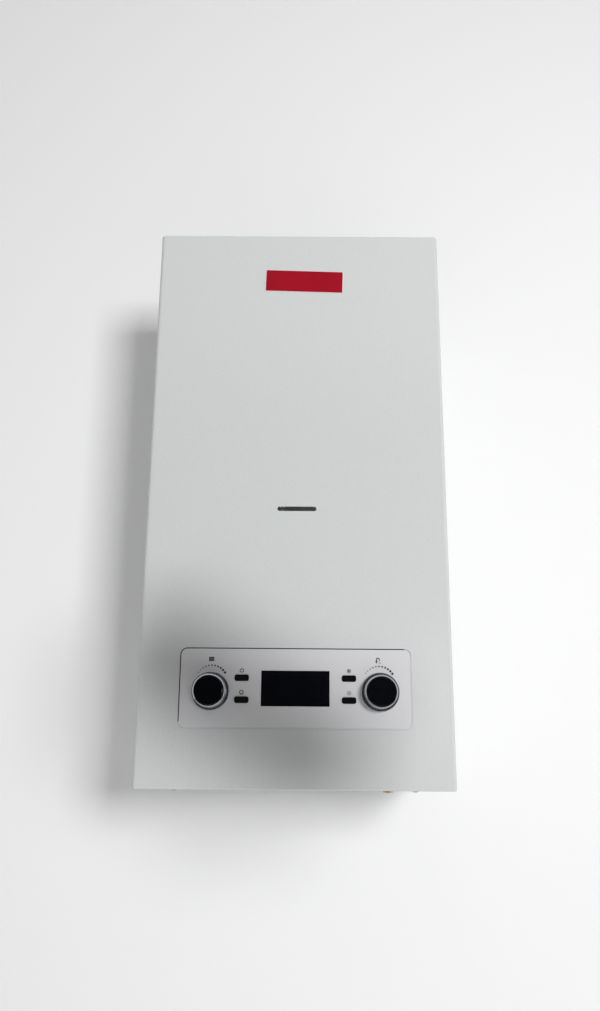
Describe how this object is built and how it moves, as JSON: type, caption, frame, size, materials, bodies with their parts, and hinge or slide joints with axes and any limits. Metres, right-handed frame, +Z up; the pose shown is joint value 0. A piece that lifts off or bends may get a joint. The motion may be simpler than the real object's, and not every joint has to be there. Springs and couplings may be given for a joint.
{
  "type": "wall-hung gas boiler",
  "caption": "Wall-hung fan-flued combi gas boiler: white folded casing, control fascia with two turning knobs, keys and a dark display, full works inside.",
  "frame": {"origin": "on the wall plane, on the centreline, at the hanging slots", "axes": "+X right seen from the front, +Y into the wall, +Z up"},
  "size_m": [0.4, 0.3226, 0.815],
  "materials": {
    "casing_paint": "white satin powder coat on folded steel",
    "galvanised": "galvanised sheet steel",
    "aluminised": "aluminised sheet steel",
    "stainless": "stainless steel, pressed",
    "zinc_screw": "bright zinc-plated steel",
    "fascia_plastic": "white moulded ABS, fine satin",
    "box_plastic": "dark grey moulded ABS",
    "black_gloss": "black polished acrylic",
    "key_plastic": "black moulded ABS",
    "knob_chrome": "bright chrome plate on ABS",
    "display_unit": "display cell in a dark frame",
    "circuit_board": "green solder mask",
    "components": "moulded black components",
    "glass": "clear heat-proof glass",
    "fibre": "pressed ceramic fibre board",
    "ceramic": "glazed alumina",
    "copper": "copper, brazed",
    "brass": "hot-pressed brass",
    "vessel_paint": "red stove enamel",
    "cast_aluminium": "die-cast aluminium",
    "pump_casting": "black cataphoretic paint on a casting",
    "pump_motor": "dark grey moulded motor shell",
    "coil_plastic": "black moulded coil",
    "white_plastic": "white moulded polyamide",
    "silicone": "red silicone tube",
    "hose_rubber": "black rubber",
    "red_knob": "red moulded nylon",
    "blue_knob": "blue moulded nylon",
    "motor_laminations": "stacked laminations"
  },
  "bodies": {
    "root": {"casing_screws": "zinc_screw", "rear_panel": "galvanised", "hanging_bar": "galvanised", "side_rails": "galvanised", "top_plate": "galvanised", "bottom_plate": "galvanised", "frame_brackets": "galvanised", "control_fascia": "fascia_plastic", "display_window": "black_gloss", "display_module": "display_unit", "control_board": "circuit_board", "control_box": "box_plastic", "board_components": "components", "air_collar": "casing_paint", "flue_spigot": "stainless", "fan_housing": "aluminised", "fan_motor": "motor_laminations", "air_pressure_switch": "white_plastic", "pressure_tubes": "silicone", "flue_hood": "aluminised", "chamber_shell": "aluminised", "chamber_front_panel": "aluminised", "chamber_insulation": "fibre", "sight_glass": "glass", "burner_bars": "stainless", "gas_manifold": "aluminised", "electrodes": "ceramic", "exchanger_jacket": "copper", "exchanger_fins": "copper", "exchanger_tubes": "copper", "pipe_stubs": "brass", "heating_pipes": "copper", "gas_pipes": "copper", "vessel_hose": "hose_rubber", "temperature_sensors": "white_plastic", "gas_valve": "cast_aluminium", "gas_valve_coils": "coil_plastic", "expansion_vessel": "vessel_paint", "plate_exchanger": "stainless", "flow_block": "brass", "return_block": "brass", "diverter_actuator": "white_plastic", "pump_housing": "pump_casting", "pump_motor": "pump_motor", "air_vent": "brass", "relief_valve": "brass", "filling_tap": "brass"},
    "casing": {"casing_cover": "casing_paint", "slot_glass": "glass"},
    "heating_knob": {"heating_knob": "knob_chrome", "heating_knob_face": "black_gloss"},
    "hot_water_knob": {"hot_water_knob": "knob_chrome", "hot_water_knob_face": "black_gloss"},
    "power_key": {"power_key": "key_plastic"},
    "mode_key": {"mode_key": "key_plastic"},
    "winter_key": {"winter_key": "key_plastic"},
    "summer_key": {"summer_key": "key_plastic"},
    "fan_rotor": {"fan_wheel": "stainless"},
    "relief_knob": {"relief_knob": "red_knob"},
    "filling_tap_knob": {"filling_tap_knob": "blue_knob"}
  },
  "joints": [
    {"name": "cover_slide", "type": "slide", "parent": "root", "child": "casing", "axis": [0, -1, 0], "range_m": [0, 0.33]},
    {"name": "heating_knob_turn", "type": "hinge", "parent": "root", "child": "heating_knob", "pos_m": [-0.107, -0.311, -0.5868], "axis": [0, 1, 0], "range_deg": [-135, 135]},
    {"name": "hot_water_knob_turn", "type": "hinge", "parent": "root", "child": "hot_water_knob", "pos_m": [0.107, -0.311, -0.5868], "axis": [0, 1, 0], "range_deg": [-135, 135]},
    {"name": "power_key_press", "type": "slide", "parent": "root", "child": "power_key", "axis": [0, 1, 0], "range_m": [0, 0.001], "stiffness_N_per_m": 1500},
    {"name": "mode_key_press", "type": "slide", "parent": "root", "child": "mode_key", "axis": [0, 1, 0], "range_m": [0, 0.001], "stiffness_N_per_m": 1500},
    {"name": "winter_key_press", "type": "slide", "parent": "root", "child": "winter_key", "axis": [0, 1, 0], "range_m": [0, 0.001], "stiffness_N_per_m": 1500},
    {"name": "summer_key_press", "type": "slide", "parent": "root", "child": "summer_key", "axis": [0, 1, 0], "range_m": [0, 0.001], "stiffness_N_per_m": 1500},
    {"name": "fan_spin", "type": "hinge", "parent": "root", "child": "fan_rotor", "pos_m": [-0.05, -0.181, -0.05], "axis": [0, 1, 0], "continuous": true},
    {"name": "relief_turn", "type": "hinge", "parent": "root", "child": "relief_knob", "pos_m": [0.13, -0.169, -0.659], "axis": [0, 1, 0], "range_deg": [0, 90]},
    {"name": "filling_tap_turn", "type": "hinge", "parent": "root", "child": "filling_tap_knob", "pos_m": [0.1, -0.11, -0.705], "axis": [0, 0, 1], "range_deg": [0, 270]}
  ]
}
